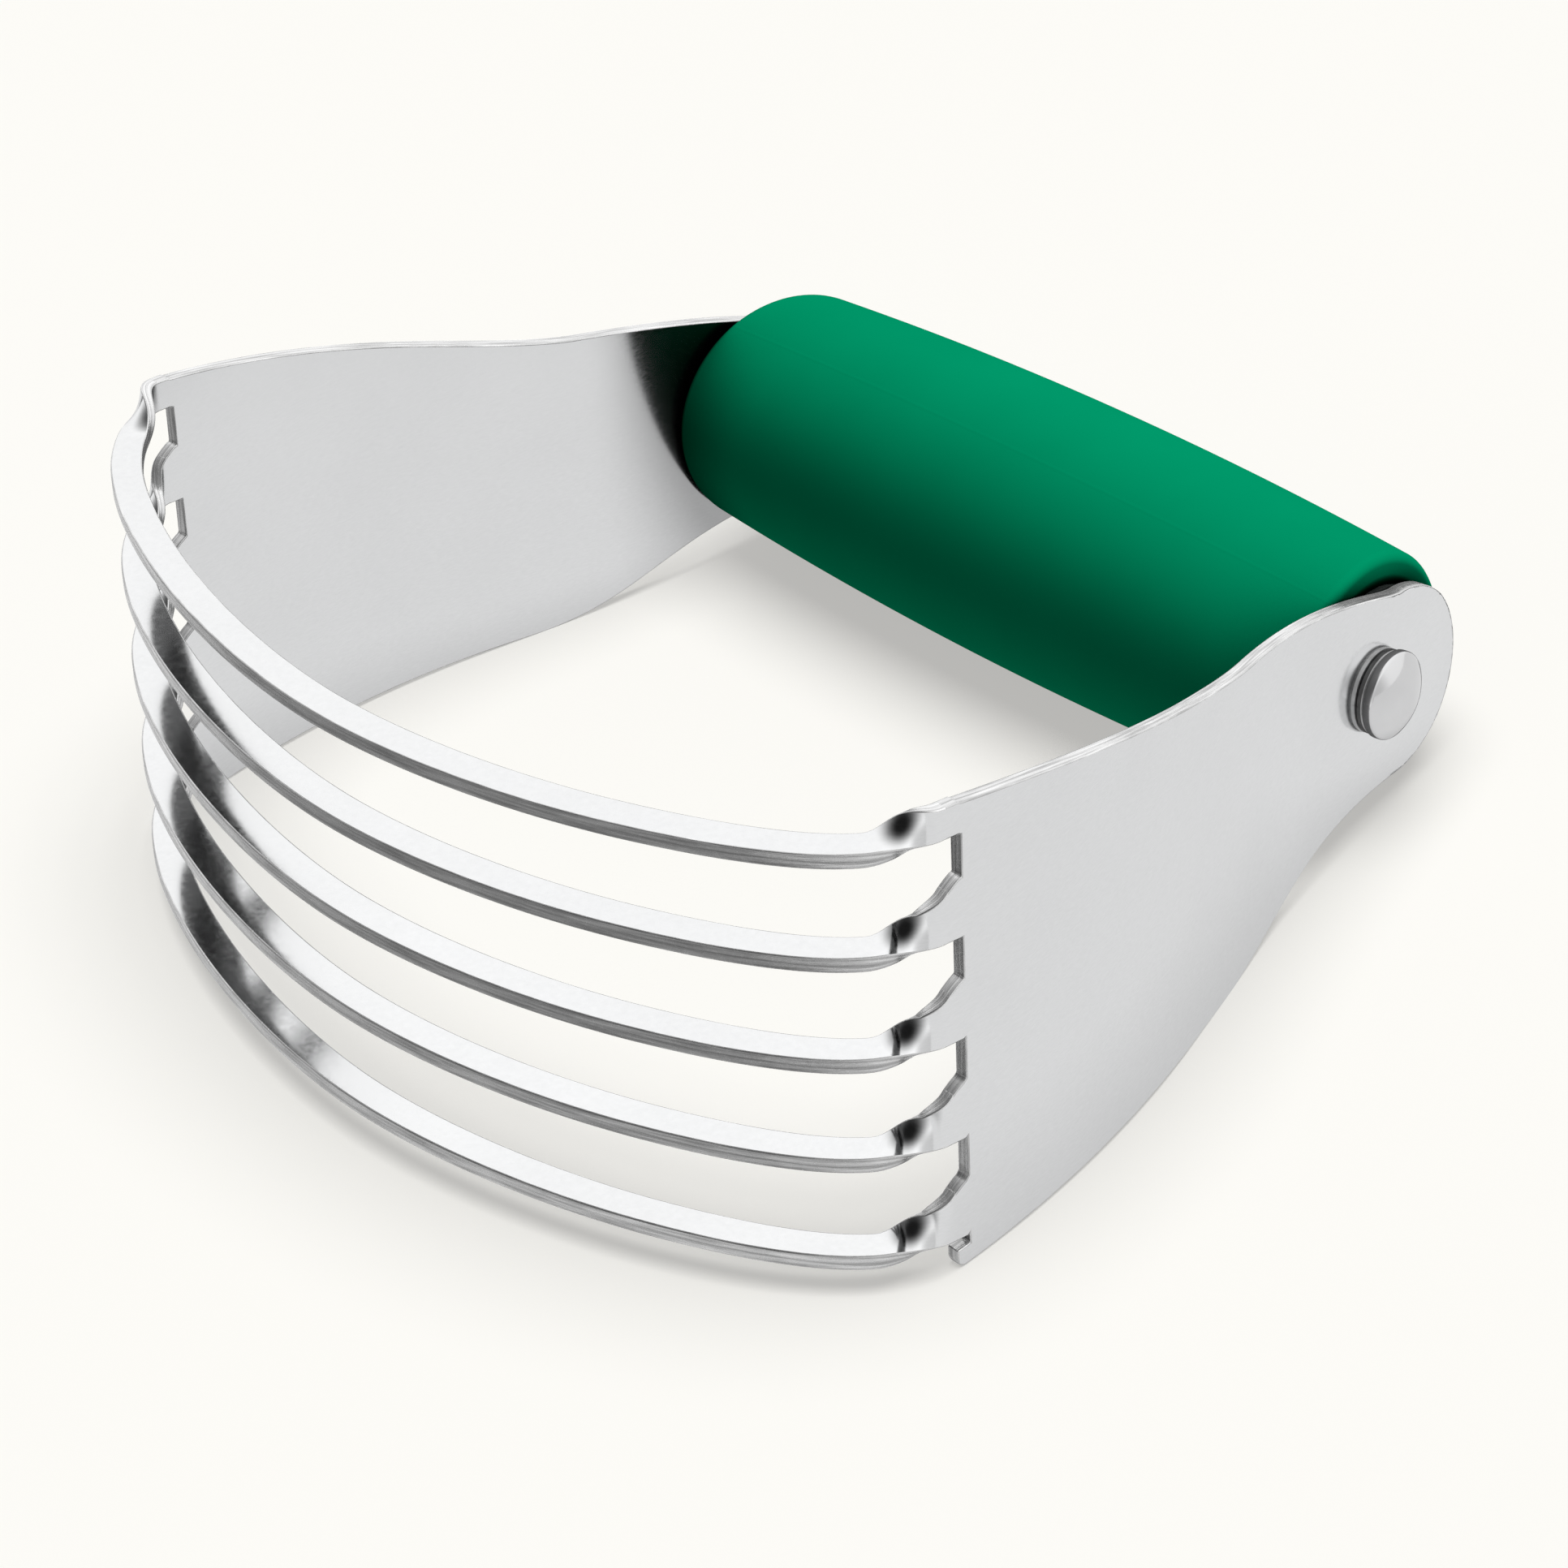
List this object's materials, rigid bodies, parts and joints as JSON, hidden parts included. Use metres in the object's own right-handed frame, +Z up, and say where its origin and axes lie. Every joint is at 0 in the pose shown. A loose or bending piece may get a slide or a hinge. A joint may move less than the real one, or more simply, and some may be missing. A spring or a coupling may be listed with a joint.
{
  "type": "pastry blender",
  "caption": "Hand pastry blender: bowed sheet-steel blades between two flared side plates, held by a soft-sleeved barrel grip.",
  "frame": {"origin": "on the bench, under the middle of the grip's axis, where the grip's belly touches when the tool lies at rest", "axes": "+X along the grip towards the right-hand plate, -Y towards the blades, +Z up from the bench"},
  "size_m": [0.1208, 0.1111, 0.048],
  "materials": {
    "blade_steel": "fine satin with bright cut edges",
    "rivet_steel": "polished",
    "washer_steel": "plain",
    "green_sleeve": "satin",
    "core_plastic": "matte",
    "insert_brass": "machined"
  },
  "bodies": {
    "root": {"blade_frame": "blade_steel", "grip_sleeve": "green_sleeve", "handle_core": "core_plastic", "insert_right": "insert_brass", "insert_left": "insert_brass", "washer_right": "washer_steel", "washer_left": "washer_steel", "rivet_right": "rivet_steel", "rivet_left": "rivet_steel"}
  },
  "joints": []
}
